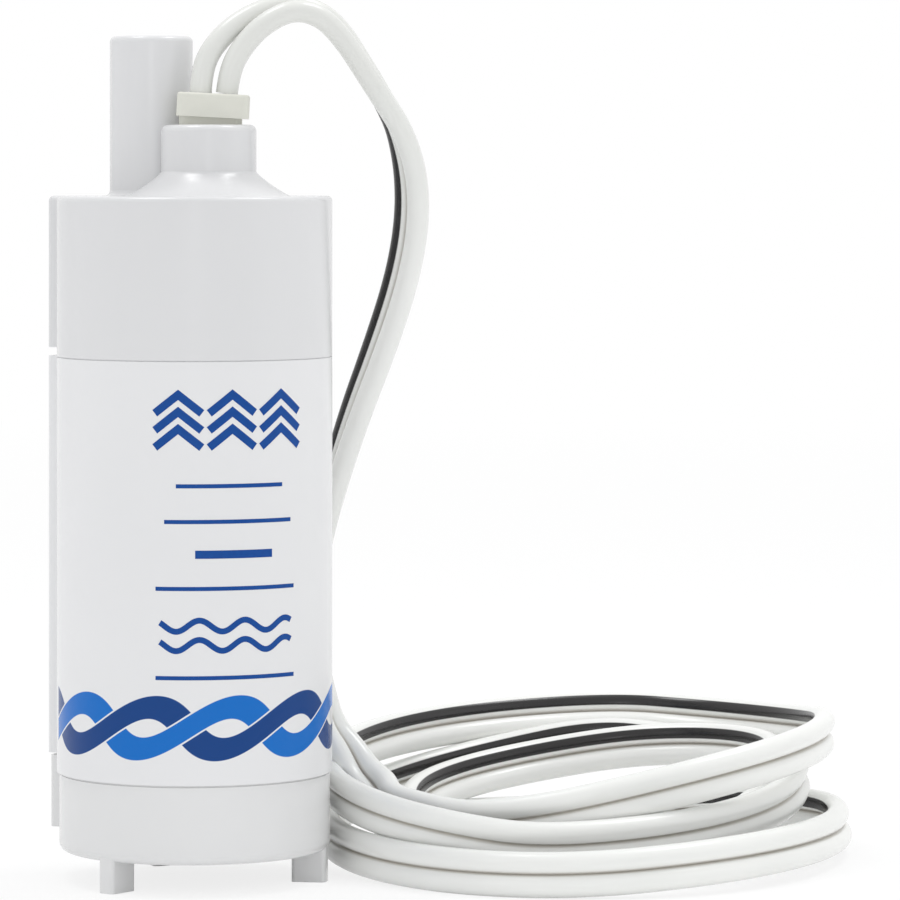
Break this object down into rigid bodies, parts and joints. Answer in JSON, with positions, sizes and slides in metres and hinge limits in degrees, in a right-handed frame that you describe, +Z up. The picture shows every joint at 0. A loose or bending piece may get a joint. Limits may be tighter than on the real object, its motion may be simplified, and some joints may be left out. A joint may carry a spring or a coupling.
{
  "type": "submersible caravan water pump",
  "caption": "Slim white submersible water pump on short feet, with a hose spout and a coiled white twin flex.",
  "frame": {"origin": "on the floor under the axis of the round body, at the level of the feet's soles", "axes": "+Z up along the body and the spout, +X to the picture's right, +Y away from the camera"},
  "size_m": [0.115, 0.0827, 0.1228],
  "materials": {
    "housing_plastic": "moulded white ABS, fine satin gloss",
    "grommet_rubber": "cream moulded rubber",
    "flex_pvc": "soft white PVC",
    "bare_copper": "bright stranded copper",
    "seal_rubber": "black rubber",
    "gasket_rubber": "dark rubber sheet",
    "resin": "cast sealing resin",
    "grey_nylon": "moulded nylon",
    "black_nylon": "moulded nylon",
    "plated_steel": "zinc plated steel",
    "ground_steel": "ground stainless steel",
    "ferrite": "sintered ferrite",
    "laminations": "stacked iron sheet",
    "enamelled_copper": "enamelled copper wire",
    "sintered_bronze": "oil-filled sintered bronze",
    "commutator_copper": "turned copper",
    "phenolic": "pressed phenolic",
    "carbon": "pressed carbon",
    "spring_bronze": "phosphor bronze strip",
    "fibre": "pressed fibre",
    "tinned_brass": "tinned brass",
    "ceramic": "dipped ceramic"
  },
  "bodies": {
    "housing": {"upper_cap": "housing_plastic", "pump_body": "housing_plastic", "strainer_base": "housing_plastic", "base_feet": "housing_plastic", "intake_plate": "grey_nylon", "lower_gasket": "gasket_rubber", "upper_gasket": "gasket_rubber", "cable_grommet": "grommet_rubber", "entry_resin": "resin", "motor_retainer": "grey_nylon", "shaft_seal": "seal_rubber", "seal_washer": "ground_steel", "motor_can": "plated_steel", "motor_end_cap": "black_nylon", "front_bearing": "sintered_bronze", "rear_bearing": "sintered_bronze", "stator_magnets": "ferrite", "magnet_clip": "plated_steel", "carbon_brushes": "carbon", "brush_springs": "spring_bronze", "motor_terminals": "tinned_brass", "noise_capacitor": "ceramic", "inner_lead_left": "flex_pvc", "inner_lead_right": "flex_pvc", "free_core_left": "flex_pvc", "free_core_right": "flex_pvc", "twin_cable": "flex_pvc", "cable_coil": "flex_pvc", "tail_cores": "flex_pvc", "copper_ends": "bare_copper"},
    "rotor": {"impeller": "black_nylon", "shaft": "ground_steel", "armature_core": "laminations", "armature_windings": "enamelled_copper", "commutator_core": "phenolic", "commutator": "commutator_copper", "thrust_washers": "fibre"}
  },
  "joints": [
    {"name": "rotor_spin", "type": "hinge", "parent": "housing", "child": "rotor", "pos_m": [0.00239, -0.00102, 0.0197], "axis": [0, 0, 1], "continuous": true}
  ]
}
